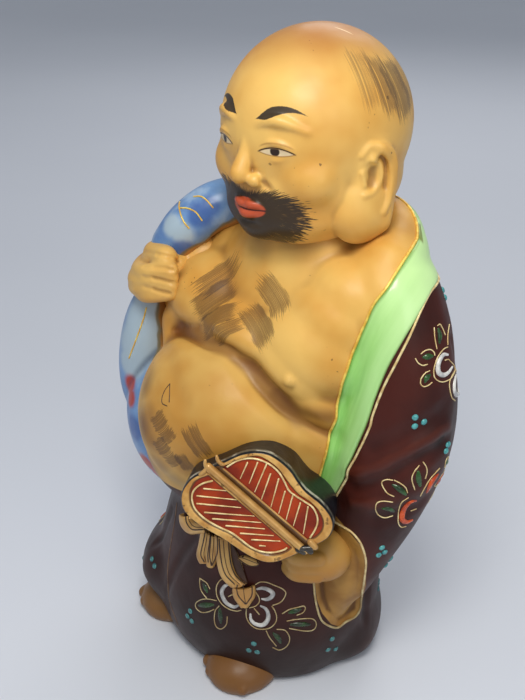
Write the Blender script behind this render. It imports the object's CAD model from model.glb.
import math
import time

import bpy
import numpy as np
from mathutils import Matrix, Vector
from mathutils.bvhtree import BVHTree


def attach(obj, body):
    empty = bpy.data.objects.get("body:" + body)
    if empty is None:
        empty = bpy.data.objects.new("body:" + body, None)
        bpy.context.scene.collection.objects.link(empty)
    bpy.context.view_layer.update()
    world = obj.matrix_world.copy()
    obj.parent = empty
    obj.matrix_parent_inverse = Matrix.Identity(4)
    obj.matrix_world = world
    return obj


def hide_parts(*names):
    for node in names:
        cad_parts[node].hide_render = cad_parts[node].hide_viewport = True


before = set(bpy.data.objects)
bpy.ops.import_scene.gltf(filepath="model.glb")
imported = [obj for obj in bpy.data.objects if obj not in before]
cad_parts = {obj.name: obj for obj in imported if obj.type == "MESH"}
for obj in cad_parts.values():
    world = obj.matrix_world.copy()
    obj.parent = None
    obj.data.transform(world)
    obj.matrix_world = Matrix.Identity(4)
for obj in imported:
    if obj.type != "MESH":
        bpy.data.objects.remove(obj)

started = time.time()
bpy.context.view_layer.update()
unit = 0.250 / 248.3  # one step of the carving grid, in metres

picture = {  # the camera that took the photograph
    "azimuth": 52,  # degrees round to the figure's left
    "pitch": 28,  # degrees looking down
    "focal": 900,  # pixels
    "width": 525,
    "height": 700,
    "reach": 0.3051,  # metres from the figure's axis, along the floor
    "eyeHeight": 0.2946,
}


def report(words):
    print(f"[{time.time() - started:5.1f} s] {words}")


def viewAxes(azimuth, pitch):
    a, p = math.radians(azimuth), math.radians(pitch)
    forward = Vector((-math.sin(a) * math.cos(p), math.cos(a) * math.cos(p), -math.sin(p)))
    right = Vector((math.cos(a), math.sin(a), 0))
    return forward, right, right.cross(forward)


lookForward, lookRight, lookUp = viewAxes(picture["azimuth"], picture["pitch"])
eyePlace = Vector((-lookForward.x, -lookForward.y, 0)).normalized() * picture["reach"]
eyePlace.z = picture["eyeHeight"]

bpy.ops.object.select_all(action="DESELECT")
bpy.ops.object.camera_add(location=eyePlace, rotation=lookForward.to_track_quat("-Z", "Y").to_euler())
camera = bpy.context.object
camera.data.sensor_width = 36
camera.data.lens = picture["focal"] / picture["height"] * 36
camera.data.clip_start = 0.01
bpy.context.scene.camera = camera


def at(x, y, z):
    return Vector((x, y, z)) * unit


def pickOnly(*objects):
    bpy.ops.object.select_all(action="DESELECT")
    for obj in objects:
        obj.select_set(True)
    bpy.context.view_layer.objects.active = objects[0]


def applyAll(obj):
    pickOnly(obj)
    for change in list(obj.modifiers):
        bpy.ops.object.modifier_apply(modifier=change.name)


def named(obj, name):
    obj.name = name
    obj.data.name = name
    return obj


def joined(name, objects):
    pickOnly(*objects)
    if len(objects) > 1:
        bpy.ops.object.join()
    bpy.ops.object.transform_apply(location=True, rotation=True, scale=True)
    return named(bpy.context.object, name)


def addBall(centre, radii, turn=(0, 0, 0)):
    bpy.ops.mesh.primitive_uv_sphere_add(
        segments=44,
        ring_count=26,
        radius=1,
        location=at(*centre),
        rotation=[math.radians(a) for a in turn],
        scale=[r * unit for r in radii],
    )
    return bpy.context.object


def smoothPath(points, count):
    # a Catmull-Rom curve through rows that may hold more than a place
    rows = np.array(points, float)
    padded = np.vstack([2 * rows[0] - rows[1], rows, 2 * rows[-1] - rows[-2]])
    found = []
    for step in np.linspace(0, len(rows) - 1, count):
        i = min(int(step), len(rows) - 2)
        t = step - i
        a, b, c, d = padded[i : i + 4]
        bend = (2 * a - 5 * b + 4 * c - d) * t**2 + (3 * b - a - 3 * c + d) * t**3
        found.append(b + 0.5 * ((c - a) * t + bend))
    return np.array(found)


def addStrands(name, strands, sides=4):
    # each strand is a list of places in metres and their radii, made a closed round tube
    bpy.ops.curve.primitive_nurbs_path_add(location=(0, 0, 0))
    obj = bpy.context.object
    data = obj.data
    data.splines.clear()
    data.dimensions = "3D"
    data.bevel_depth = 1
    data.bevel_resolution = sides
    data.use_fill_caps = True
    for places, radii in strands:
        line = data.splines.new("POLY")
        line.points.add(len(places) - 1)
        for point, place, radius in zip(line.points, places, radii):
            point.co = (*place, 1)
            point.radius = radius
    pickOnly(obj)
    bpy.ops.object.convert(target="MESH")
    return named(bpy.context.object, name)


def roundEnds(places, radii):
    # adds a half ball's worth of shrinking rings at both ends
    places = [Vector(p) for p in places]
    radii = list(radii)
    for end, after in ((0, 1), (-1, -2)):
        out = (places[end] - places[after]).normalized()
        tip, r = places[end], radii[end]
        extra = [(tip + out * r * math.sin(a), r * math.cos(a) + 1e-5) for a in (0.5, 1.0, 1.4)]
        if end == 0:
            places = [p for p, _ in reversed(extra)] + places
            radii = [s for _, s in reversed(extra)] + radii
        else:
            places += [p for p, _ in extra]
            radii += [s for _, s in extra]
    return places, radii


def limb(stations, count=30):
    path = smoothPath(stations, count)
    return roundEnds([at(*p[:3]) for p in path], [p[3] * unit for p in path])


def melt(name, balls, limbs=(), voxel=1.0, rounds=10, keep=()):
    # overlapping shapes are melted into one skin and their joins softened
    parts = [addBall(*ball) for ball in balls]
    if limbs:
        parts.append(addStrands(name + "Limbs", [limb(stations) for stations in limbs], 6))
    obj = joined(name, [*parts, *keep])
    skin = obj.modifiers.new("melt", "REMESH")
    skin.mode = "VOXEL"
    skin.voxel_size = voxel * unit
    soften = obj.modifiers.new("soften", "SMOOTH")
    soften.factor = 0.5
    soften.iterations = rounds
    applyAll(obj)
    return obj


def readVertices(obj, kind):
    found = np.empty(len(obj.data.vertices) * 3, np.float32)
    obj.data.vertices.foreach_get(kind, found)
    return found.reshape(-1, 3).astype(float)


def places(obj):
    return readVertices(obj, "co")


def normals(obj):
    return readVertices(obj, "normal")


def setPlaces(obj, found):
    obj.data.vertices.foreach_set("co", found.astype(np.float32).ravel())
    obj.data.update()


def skinTree(obj):
    return BVHTree.FromPolygons([v.co for v in obj.data.vertices], [p.vertices for p in obj.data.polygons])


def eased(x):
    x = np.clip(x, 0, 1)
    return x * x * (3 - 2 * x)


def distanceTo(points, line):
    reach = np.full(len(points), np.inf)
    for start, end in zip(line, line[1:]):
        along = end - start
        t = np.clip((points - start) @ along / max(along @ along, 1e-12), 0, 1)
        reach = np.minimum(reach, np.linalg.norm(points - start - t[:, None] * along, axis=1))
    return reach


def crease(obj, stations, width, height, tree=None):
    # raises the skin along a line, or cuts it when height is below zero; sizes are grid steps
    if tree is not None:
        stations = [tuple(tree.find_nearest(at(*p))[0] / unit) for p in stations]
    line = smoothPath(stations, 12 * len(stations)) * unit
    found = places(obj)
    low, high = line.min(0) - width * unit, line.max(0) + width * unit
    near = np.flatnonzero(((found > low) & (found < high)).all(1))
    fall = eased(1 - distanceTo(found[near], line) / (width * unit / 2))
    found[near] += normals(obj)[near] * (height * unit * fall)[:, None]
    setPlaces(obj, found)


def edgePairs(obj):
    pairs = np.empty(len(obj.data.edges) * 2, np.int32)
    obj.data.edges.foreach_get("vertices", pairs)
    return pairs.reshape(-1, 2)


def relaxed(values, pairs, rounds):
    # every value moves to the mean of its neighbours, again and again
    a, b = pairs.T
    count = len(values)
    degree = np.bincount(pairs.ravel(), minlength=count)
    for _ in range(rounds):
        sums = [np.bincount(a, column[b], count) + np.bincount(b, column[a], count) for column in values.T]
        values = np.stack(sums, 1) / degree[:, None]
    return values


def storeValue(obj, name, values):
    layer = obj.data.attributes.new(name, "FLOAT", "POINT")
    layer.data.foreach_set("value", np.asarray(values, np.float32))


def storeVector(obj, name, values):
    layer = obj.data.attributes.new(name, "FLOAT_VECTOR", "POINT")
    layer.data.foreach_set("vector", np.asarray(values, np.float32).ravel())


def storeHollows(obj, rounds=24, broadRounds=150):
    # above zero in a hollow and below zero on a ridge, in grid steps, once finely and once broadly
    found, pairs, outward = places(obj), edgePairs(obj), normals(obj)
    fine = relaxed(found, pairs, rounds)
    storeValue(obj, "hollow", ((fine - found) * outward).sum(1) / unit)
    broad = relaxed(fine, pairs, broadRounds)
    storeValue(obj, "broadHollow", ((broad - found) * outward).sum(1) / unit)


def nearness(found, place, reach):
    # one at the place, fading to nothing a little past the reach in millimetres
    away = np.linalg.norm(found - np.array(place), axis=1)
    return np.exp(-((away / (reach * 0.001)) ** 2))


def finishPiece(obj, paint, angle=180):
    obj.data.materials.clear()
    obj.data.materials.append(paint)
    pickOnly(obj)
    if angle >= 180:
        bpy.ops.object.shade_smooth()
    else:
        bpy.ops.object.shade_smooth_by_angle(angle=math.radians(angle))
    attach(obj, "root")
    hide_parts("buddha_figure")
    return obj


def sightLine(spot):
    x, y = spot
    right = lookRight * (x - picture["width"] / 2) / picture["focal"]
    up = lookUp * (picture["height"] / 2 - y) / picture["focal"]
    return lookForward + right + up


def fromPicture(tree):
    # a pixel of the picture, brought onto the skin that carries it
    def cast(spot):
        direction = sightLine(spot).normalized()
        place, normal, _, _ = tree.ray_cast(eyePlace, direction)
        if place is None:  # just past the outline: the nearest skin to the line of sight
            near = [eyePlace + direction * (0.26 + 0.004 * k) for k in range(50)]
            found = [tree.find_nearest(p) for p in near]
            place, normal, _, _ = min(found, key=lambda f: f[3])
        return place, normal

    return cast


def fromSide(tree, azimuth, height, lean=0.0):
    # a spot given in millimetres across and up, thrown level at the skin from one side
    forward, right, up = viewAxes(azimuth, 0)
    c, s = math.cos(math.radians(lean)), math.sin(math.radians(lean))

    def cast(spot):
        across, rise = spot[0] / 1000, spot[1] / 1000
        across, rise = across * c - rise * s, across * s + rise * c
        start = Vector((0, 0.01, height * unit)) - forward * 0.3 + right * across + up * rise
        place, normal, _, _ = tree.ray_cast(start, forward)
        if place is None:
            place, normal, _, _ = tree.find_nearest(start + forward * 0.25)
        return place, normal

    return cast


def trailed(cast, spots, radius, lift=0.3, count=0):
    # a strand of enamel trailed on the skin through the spots
    path = smoothPath(spots, count or 6 * len(spots))
    radii = radius if callable(radius) else lambda t: radius
    line, sizes = [], []
    for k, spot in enumerate(path):
        place, normal = cast(spot)
        size = radii(k / (len(path) - 1)) * 0.001
        line.append(place + normal * size * lift)
        sizes.append(size)
    return roundEnds(line, sizes)


graph = {"tree": None}  # the node tree of the paint that is being mixed


class Field:
    # a socket that takes part in sums
    def __init__(self, socket):
        self.socket = socket

    def __add__(self, other):
        return calc("ADD", self, other)

    def __sub__(self, other):
        return calc("SUBTRACT", self, other)

    def __rsub__(self, other):
        return calc("SUBTRACT", other, self)

    def __mul__(self, other):
        return calc("MULTIPLY", self, other)

    def __truediv__(self, other):
        return calc("DIVIDE", self, other)

    def __pow__(self, other):
        return calc("POWER", self, other)

    def __abs__(self):
        return calc("ABSOLUTE", self)


def setInputs(node, inputs):
    # a field is linked, anything else is set on the socket itself
    for name, given in inputs.items():
        if isinstance(given, Field):
            graph["tree"].links.new(given.socket, node.inputs[name])
        else:
            node.inputs[name].default_value = given


def addNode(kind, inputs, output=0, **settings):
    made = graph["tree"].nodes.new("ShaderNode" + kind)
    for name, setting in settings.items():
        setattr(made, name, setting)
    setInputs(made, inputs)
    return Field(made.outputs[output])


def calc(operation, first, second=0.0):
    return addNode("Math", {0: first, 1: second}, operation=operation)


def larger(first, second):
    return calc("MAXIMUM", first, second)


def smaller(first, second):
    return calc("MINIMUM", first, second)


def step(given, low, high):
    inputs = {"Value": given, "From Min": low, "From Max": high}
    return addNode("MapRange", inputs, "Result", interpolation_type="SMOOTHSTEP")


def over(amount, under, top):
    return addNode("Mix", {0: amount, 6: under, 7: top}, 2, data_type="RGBA")


def grain(where, scale, detail=2.0, rough=0.5):
    return addNode("TexNoise", {"Vector": where, "Scale": scale, "Detail": detail, "Roughness": rough}, "Fac")


def mottled(where, scale, detail, low, high, light, deep):
    return over(step(grain(where, scale, detail), low, high), light, deep)


def stretched(where, scale):
    return addNode("VectorMath", {0: where, 1: scale}, operation="MULTIPLY")


def boxed(where, box):
    # the place inside a turned box, from minus one to one along each of its sides
    inputs = {"Vector": where, "Location": box["place"], "Rotation": box["turn"], "Scale": box["half"]}
    return addNode("Mapping", inputs, vector_type="TEXTURE")


def split(given):
    return [addNode("SeparateXYZ", {0: given}, k) for k in range(3)]


def value(name, output="Fac"):
    return addNode("Attribute", {}, output, attribute_name=name)


def bumps(height, strength, distance=0.0004):
    return addNode("Bump", {"Strength": strength, "Distance": distance, "Height": height})


def newPaint(name):
    # the paint, its shader and the place on the object
    paint = bpy.data.materials.new(name)
    paint.use_nodes = True
    graph["tree"] = paint.node_tree
    return paint, paint.node_tree.nodes["Principled BSDF"], addNode("TexCoord", {}, "Object")


def srgb(*colour):
    # 0 to 255 as a paint chart gives it, to the linear value that the shader takes
    linear = [(c / 255 / 12.92) if c <= 10 else ((c / 255 + 0.055) / 1.055) ** 2.4 for c in colour]
    return (*linear, 1)


skinTone = {
    "light": srgb(231, 186, 101),
    "deep": srgb(211, 152, 65),
    "hollow": srgb(104, 48, 10),
    "speck": srgb(70, 44, 26),
    "gloss": 0.38,
}


def skinColour(where):
    tone = mottled(where, 30, 3, 0.35, 0.65, skinTone["light"], skinTone["deep"])
    sharp = step(value("hollow"), 0.1, 0.9)
    broad = step(value("broadHollow"), 0.35, 3.2)  # airbrushed brown in the valleys
    shade = larger(sharp * 0.6, broad * 0.85)
    tone = over(shade, tone, skinTone["hollow"])
    specks = step(grain(where, 700, 0), 0.79, 0.82) * step(grain(where, 60, 0), 0.6, 0.7)
    return over(specks * 0.7, tone, skinTone["speck"])


def skinFinish(shader, where, colour):
    haze = step(grain(where, 120, 3), 0.3, 0.8)
    setInputs(shader, {
        "Base Color": colour,
        "Roughness": haze * 0.12 + skinTone["gloss"],
        "Specular IOR Level": 0.4,
        "Coat Weight": 0.05,
        "Coat Roughness": 0.25,
        "Normal": bumps(grain(where, 260, 3), 0.2),
    })


def hairPatch(where, colour, patch, ink):
    # short brushed strokes inside a slanting box: x across the strokes, y along them
    local = boxed(where, patch)
    x, y, z = split(local)
    strokes = patch["strokes"]
    bent = y * y * patch["bend"] + x
    across = addNode("CombineXYZ", {0: bent, 1: y * 0.12, 2: patch["bend"]})
    lengths = grain(stretched(across, (strokes * 1.3, 0.0, 30.0)), 1.0, 1)
    reach = abs(y) / (lengths * 1.2 + 0.32)
    along = 1.0 - reach ** 3.0
    ragged = grain(stretched(local, (1.2, 2.2, 0.0)), 1.0, 2) * 0.6 + 0.6
    beside = 1.0 - (abs(bent) / ragged) ** 4.0
    cover = step(along, 0.0, 0.9) * step(beside, 0.0, 0.9)
    hairs = grain(stretched(across, (strokes * 2.6, 1.6, 30.0)), 1.0, 1)
    threshold = hairs - (1.24 + patch["thin"])
    drawn = step(cover * 0.95 + threshold, 0.0, 0.1)
    fine = step(grain(stretched(across, (strokes * 6, 2.0, 30.0)), 1.0, 1), 0.34, 0.5)
    drawn = drawn * (fine * (1 - patch["wash"]) + patch["wash"])
    drawn = drawn * step(abs(z), 1.0, 0.8) * step(cover, 0.0, 0.05)
    return over(drawn * patch["strength"], colour, ink)


robeTone = {
    "light": srgb(72, 25, 15),
    "deep": srgb(50, 16, 10),
    "hollow": srgb(26, 9, 6),
    "worn": srgb(104, 46, 28),
}


def robeColour(where):
    tone = mottled(where, 30, 4, 0.35, 0.65, robeTone["light"], robeTone["deep"])
    tone = over(step(value("hollow"), 0.0, 1.0) * 0.7, tone, robeTone["hollow"])
    return over(step(value("hollow"), -0.35, -0.9) * 0.35, tone, robeTone["worn"])


def lowered(where, tone, amount):
    # the glaze is greyer and darker towards the foot
    return over(step(split(where)[2], 0.085, 0.02) * amount, tone, srgb(30, 20, 16))


def plainPaint(name, light, deep, rough, metal=0.0, scale=200, bump=0.15, coat=0.0, low=0.0):
    paint, shader, where = newPaint(name)
    tone = mottled(where, scale, 3, 0.35, 0.65, srgb(*light), srgb(*deep))
    setInputs(shader, {
        "Base Color": lowered(where, tone, low) if low else tone,
        "Roughness": grain(where, scale * 1.7, 3) * 0.16 + (rough - 0.08),
        "Metallic": metal,
        "Coat Weight": coat,
        "Coat Roughness": 0.1,
        "Normal": bumps(grain(where, scale * 2.5, 2), bump, 0.0003),
    })
    return paint


linePaint = {"scale": 400, "bump": 0.3}
enamel = {"scale": 300, "bump": 0.1, "coat": 0.2}
goldPaint = plainPaint("goldLine", (250, 218, 104), (226, 176, 66), 0.32, metal=0.15, **linePaint)
paleGoldPaint = plainPaint(
    "creamGoldLine", (246, 226, 168), (214, 182, 122), 0.36, metal=0.1, low=0.5, **linePaint
)
seamPaint = plainPaint("seamLine", (128, 98, 70), (92, 66, 48), 0.45, metal=0.1, scale=300, bump=0.2)
inkPaint = plainPaint("inkLine", (56, 36, 22), (82, 54, 32), 0.5, scale=500, bump=0.2)
whiteEnamel = plainPaint("whiteEnamel", (236, 234, 228), (176, 176, 176), 0.28, low=0.35, **enamel)
orangeEnamel = plainPaint("orangeEnamel", (216, 84, 20), (178, 56, 12), 0.28, **enamel)
leafEnamel = plainPaint("leafEnamel", (46, 96, 34), (22, 50, 20), 0.28, low=0.5, **enamel)
turquoiseEnamel = plainPaint(
    "turquoiseEnamel", (92, 178, 176), (58, 134, 140), 0.25, scale=900, bump=0.1, coat=0.2, low=0.5
)

report("helpers and paints are ready")

breastLine = [
    (-44, -13, 127), (-23, -20, 134), (-3, -24, 141), (9, -22, 142), (23, -20, 134), (33, -14, 124),
    (44, -4, 116),
]
trunk = {  # chest, belly, robe and sleeves in one skin; places and sizes in grid steps
    "balls": [  # centre, radii, turn in degrees
        ((-4, -6, 106), (41, 42, 38)),
        ((0, 1, 86), (41, 40, 34)),
        ((-10, -10, 92), (35, 33, 28)),
        ((0, 18, 148), (42, 26, 36)),
        ((0, 2, 143), (26, 24, 14)),
        ((24, 4, 141), (24, 19, 20), (0, 0, 20)),
        ((27, 9, 152), (20, 16, 17)),
        ((-25, 1, 146), (24, 22, 18), (0, 0, -10)),
        ((-35, -9, 130), (11, 13, 17)),
        ((30, 16, 159), (19, 17, 17)),
        ((-30, 16, 159), (19, 17, 17)),
        ((1, 18, 173), (26, 20, 18)),
        ((2, 25, 152), (44, 25, 33)),
    ],
    "limbs": [
        [
            (-30, 30, 172, 8), (-18, 42, 178, 7), (3, 48, 180, 7), (22, 43, 180, 8), (33, 34, 175, 11),
            (38, 26, 170, 14),
        ],
        [
            (30, 26, 166, 15), (40, 25, 162, 18), (48, 24, 138, 20.5), (49, 22, 110, 22.5),
            (47, 16, 84, 20), (46, 8, 62, 15), (46, 2, 48, 11), (46, -1, 38, 7),
        ],
        [(-30, 26, 160, 18), (-42, 22, 140, 20), (-46, 8, 126, 17), (-46, -2, 138, 12)],
    ],
    # rings of the skirt: height, centre x, centre y, half width, half depth
    "skirt": [
        (0, -2, 2, 45, 39), (3, -2, 2, 47, 41), (12, -2, 2, 50, 44), (28, -1, 3, 52, 46),
        (48, 0, 4, 48, 43), (68, 1, 5, 44, 40), (88, 1, 7, 44, 39), (112, 2, 12, 46, 36),
        (140, 1, 17, 46, 31), (160, 1, 20, 43, 27), (172, 1, 22, 34, 21),
    ],
    "folds": [  # stations, width, depth
        (breastLine, 15, -1.6),
        (breastLine, 5.5, -1.3),
        ([(2, -24, 149), (13, -24, 147), (24, -22, 140), (34, -16, 131), (43, -6, 124)], 13, 1.5),
        ([(-30, -22, 128), (-12, -32, 130), (4, -36, 122)], 12, -0.5),
        ([(54, -2, 99), (61, 5, 104), (69, 12, 112), (73, 24, 116)], 13, -1.5),
        ([(52, -1, 104), (60, 6, 110), (68, 14, 118), (72, 26, 122)], 11, 0.8),
        ([(59, 2, 117), (67, 11, 124), (71, 22, 129)], 11, -0.8),
        ([(54, -2, 92), (62, 8, 96), (70, 20, 102)], 10, 0.6),
        ([(60, 6, 88), (68, 18, 92), (70, 30, 94)], 11, -0.9),
        ([(4, -42, 63), (-7, -42, 40), (-14, -42, 10)], 7, -1.0),
        ([(-24, -40, 60), (-32, -38, 34), (-34, -36, 14)], 8, -1.2),
        ([(-38, -26, 66), (-44, -26, 40), (-44, -24, 10)], 9, -1.0),
        ([(48, 20, 62), (50, 16, 34), (46, 14, 6)], 9, -1.6),
        ([(10, 50, 60), (12, 52, 30), (10, 48, 6)], 10, -1.6),
        ([(-20, 46, 50), (-22, 46, 28), (-22, 42, 6)], 9, -1.4),
        ([(40, 46, 150), (32, 50, 120), (26, 48, 80)], 10, -1.6),
        ([(62, 36, 150), (62, 40, 116), (58, 36, 84)], 9, -1.6),
    ],
    "behindFan": [(16, -38, 98), (30, -30, 92), (40, -20, 84)],
    "flares": [[(-30, -38, 24), (-42, -28, 22), (-50, -10, 20)], [(14, 48, 8), (34, 38, 7), (48, 18, 8)]],
    "nipple": [(288.5, 381), (290, 382.5)],  # picture pixels
    "mouth": [  # the sleeve's opening, in picture pixels
        (335, 515), (350, 533), (362, 547), (366, 562), (366, 585), (362, 602), (360, 613), (352, 620),
        (340, 627), (331, 624), (322, 613), (317, 600), (315, 585), (314, 570), (316, 550), (322, 530),
    ],
}


def loftRings(rings, cuts, sides=72):
    # a closed tube through the rings
    bpy.ops.mesh.primitive_cylinder_add(vertices=sides, radius=1, depth=1, end_fill_type="NGON")
    obj = bpy.context.object
    bpy.ops.object.mode_set(mode="EDIT")
    bpy.ops.mesh.select_all(action="DESELECT")
    bpy.ops.object.mode_set(mode="OBJECT")
    for edge in obj.data.edges:
        a, b = (obj.data.vertices[i].co.z for i in edge.vertices)
        edge.select = abs(a - b) > 0.5
    bpy.ops.object.mode_set(mode="EDIT")
    bpy.ops.mesh.select_mode(type="EDGE")
    bpy.ops.mesh.subdivide(number_cuts=cuts)
    bpy.ops.object.mode_set(mode="OBJECT")
    path = smoothPath(rings, 200)
    for vertex in obj.data.vertices:
        z, cx, cy, wide, deep = path[round((vertex.co.z + 0.5) * 199)]
        a = math.atan2(vertex.co.y, vertex.co.x)
        vertex.co = at(cx + wide * math.cos(a), cy + deep * math.sin(a), z)
    return obj


def insidePolygon(spots, polygon):
    # signed distance in pixels, above zero inside
    loop = np.array([*polygon, polygon[0]], float)
    inside = np.zeros(len(spots), bool)
    for (ax, ay), (bx, by) in zip(loop, loop[1:]):
        crosses = (ay > spots[:, 1]) != (by > spots[:, 1])
        where = ax + (spots[:, 1] - ay) / (by - ay + 1e-12) * (bx - ax)
        inside ^= crosses & (spots[:, 0] < where)
    away = distanceTo(spots, loop)
    return np.where(inside, away, -away)


def toPicture(found):
    offset = found - np.array(eyePlace)
    depth = offset @ np.array(lookForward)
    x = picture["width"] / 2 + picture["focal"] * (offset @ np.array(lookRight)) / depth
    y = picture["height"] / 2 - picture["focal"] * (offset @ np.array(lookUp)) / depth
    return np.stack([x, y], 1)


def levelCut(obj):
    # everything below the table is cut away and the base closed flat
    pickOnly(obj)
    bpy.ops.object.mode_set(mode="EDIT")
    bpy.ops.mesh.select_all(action="SELECT")
    bpy.ops.mesh.bisect(plane_co=(0, 0, 0), plane_no=(0, 0, -1), use_fill=True, clear_outer=True)
    bpy.ops.object.mode_set(mode="OBJECT")


def sleeveDepth(obj):
    # how far each vertex lies inside the sleeve's opening, in picture pixels
    found = places(obj)
    front = (normals(obj) @ np.array(lookForward) < 0.1) & (found[:, 0] > 30 * unit)
    return np.where(front, insidePolygon(toPicture(found), trunk["mouth"]), -50)


skirt = loftRings(trunk["skirt"], cuts=48)
trunkSkin = melt("trunk", trunk["balls"], trunk["limbs"], voxel=1.02, rounds=30, keep=[skirt])
report(f"trunk melted, {len(trunkSkin.data.polygons)} faces")
trunkTree = skinTree(trunkSkin)
crease(trunkSkin, trunk["behindFan"], 70, -5, trunkTree)
for stations in trunk["flares"]:
    crease(trunkSkin, stations, 36, 6.2, trunkTree)
for stations, width, depth in trunk["folds"]:
    crease(trunkSkin, stations, width, depth, trunkTree)
nipple = [tuple(fromPicture(skinTree(trunkSkin))(spot)[0] / unit) for spot in trunk["nipple"]]
crease(trunkSkin, nipple, 6.0, 2.0)

dent = eased(sleeveDepth(trunkSkin) / 8) * 2.6 * unit
setPlaces(trunkSkin, places(trunkSkin) + np.array(lookForward) * dent[:, None])
levelCut(trunkSkin)

# the paint zones: bare skin in front, between the collars and above the belt
found = places(trunkSkin) / unit
turned = np.degrees(np.arctan2(found[:, 0], -(found[:, 1] - 15)))
collarTurn = np.interp(
    found[:, 2], [80, 94, 105, 126, 144, 159, 171, 178, 182], [64, 66, 69, 73, 78, 85, 95, 112, 150]
)
rightTurn = np.interp(found[:, 2], [80, 110, 140, 160, 175, 182], [-70, -84, -92, -100, -120, -150])
across = np.minimum(collarTurn - turned, turned - rightTurn) * 0.6
belt = found[:, 2] - 82
storeValue(trunkSkin, "bare", np.minimum(across, belt))
storeValue(trunkSkin, "lining", sleeveDepth(trunkSkin))
storeHollows(trunkSkin, 26)

airbrush = [  # picture pixels, reach in millimetres and strength of the brown shading
    ((180, 275), 3.5, 0.6), ((176, 285), 3.5, 0.5), ((150, 440), 8, 0.7), ((150, 415), 6, 0.6),
    ((160, 465), 7, 0.7), ((185, 470), 6, 0.4), ((300, 245), 8, 0.6), ((260, 232), 8, 0.7),
    ((340, 232), 7, 0.45), ((400, 225), 7, 0.4), ((215, 235), 6, 0.45), ((146, 385), 7, 0.75),
    ((143, 425), 9, 0.95), ((150, 468), 9, 0.85), ((176, 480), 7, 0.6), ((205, 484), 6, 0.5),
    ((289, 386), 2.0, 0.4), ((190, 395), 26, 0.36), ((235, 440), 24, 0.18), ((172, 320), 5, 0.35),
    ((318, 352), 6, 0.1), ((320, 440), 8, 0.25), ((330, 395), 5, 0.3),
]
airbrushLines = [
    (
        [
            (176, 336), (205, 338), (225, 342), (242, 353), (256, 368), (271, 388), (286, 400),
            (299, 409), (314, 413.5), (330, 415),
        ],
        2.4, 0.5,
    ),
    ([(276, 393), (286, 401), (299, 410), (314, 415), (330, 417)], 3.4, 0.85),
    ([(262, 380), (286, 406), (310, 421), (332, 428)], 6.5, 0.35),
]
trunkTree = skinTree(trunkSkin)
picturedTrunk = fromPicture(trunkTree)
found = places(trunkSkin)
brown = np.zeros(len(found))
for spots, reach, strength in airbrushLines:
    line = np.array([picturedTrunk(spot)[0] for spot in smoothPath(spots, 40)])
    brown = np.maximum(brown, strength * np.exp(-((distanceTo(found, line) / (reach * 0.001)) ** 2)))
for spot, reach, strength in airbrush:
    brown = np.maximum(brown, strength * nearness(found, picturedTrunk(spot)[0], reach))
storeValue(trunkSkin, "airbrush", brown)


def strokeFrame(cast, centre, tip, width, length, depth):
    # a box whose y runs along the strokes from centre to tip and whose z leaves the skin
    place, normal = cast(centre)
    end, _ = cast(tip)
    along = end - place
    along = (along - normal * along.dot(normal)).normalized()
    aside = along.cross(normal)
    basis = Matrix((aside, along, normal)).transposed()
    return {"place": place, "turn": basis.to_euler(), "half": (width * unit, length * unit, depth * unit)}


# middle and a spot further along the strokes, in picture pixels; half width, half length, strokes, bend
chestHair = [
    ((218, 277), (233, 265), 6.6, 13.0, 8, 0.28),
    ((214, 299), (233, 288), 6.8, 13.5, 8, 0.3),
    ((214, 319), (235, 311), 6.6, 13.5, 8, 0.3),
    ((225, 329), (241, 324), 4.4, 9.5, 6, 0.25),
    ((274, 295), (283, 312), 6.4, 13.0, 9, -0.28),
    ((258.5, 324), (268, 341), 6.4, 13.0, 9, -0.3),
    ((162, 428), (169, 422), 8.5, 6.5, 10, 0.15),
    ((166, 453), (174, 448), 9.0, 6.5, 10, 0.15),
    ((196, 443), (206, 457), 5.6, 10.0, 8, 0.15),
    ((184, 463), (190, 471), 4.4, 6.0, 6, 0.1),
]

trunkPaint, shader, where = newPaint("trunkPaint")
skin = skinColour(where)
for centre, tip, width, length, strokes, bend in chestHair:
    patch = strokeFrame(picturedTrunk, centre, tip, width, length, 9)
    patch.update(strokes=2.1 * strokes, wash=0.62, strength=0.68, bend=bend, thin=0.02)
    skin = hairPatch(where, skin, patch, srgb(72, 50, 34))
skin = over(value("airbrush") * 0.8, skin, srgb(92, 52, 22))
bare = step(value("bare"), -0.25, 0.25)
tone = over(bare, lowered(where, robeColour(where), 0.6), skin)
lined = step(value("lining"), -0.4, 0.4)
liningTone = mottled(where, 60, 3, 0.4, 0.6, srgb(172, 128, 62), srgb(144, 100, 42))
liningTone = over(step(value("hollow"), 0.05, 0.8), liningTone, srgb(104, 66, 24))
haze = step(grain(where, 120, 3), 0.3, 0.8)
skinRough = haze * 0.12 + skinTone["gloss"]
robeRough = haze * 0.1 + 0.42
setInputs(shader, {
    "Base Color": over(lined, tone, liningTone),
    "Roughness": (skinRough - robeRough) * larger(bare, lined) + robeRough,
    "Specular IOR Level": 0.3,
    "Normal": bumps(grain(where, 260, 3), 0.25),
})
finishPiece(trunkSkin, trunkPaint)
report("trunk painted")

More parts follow.
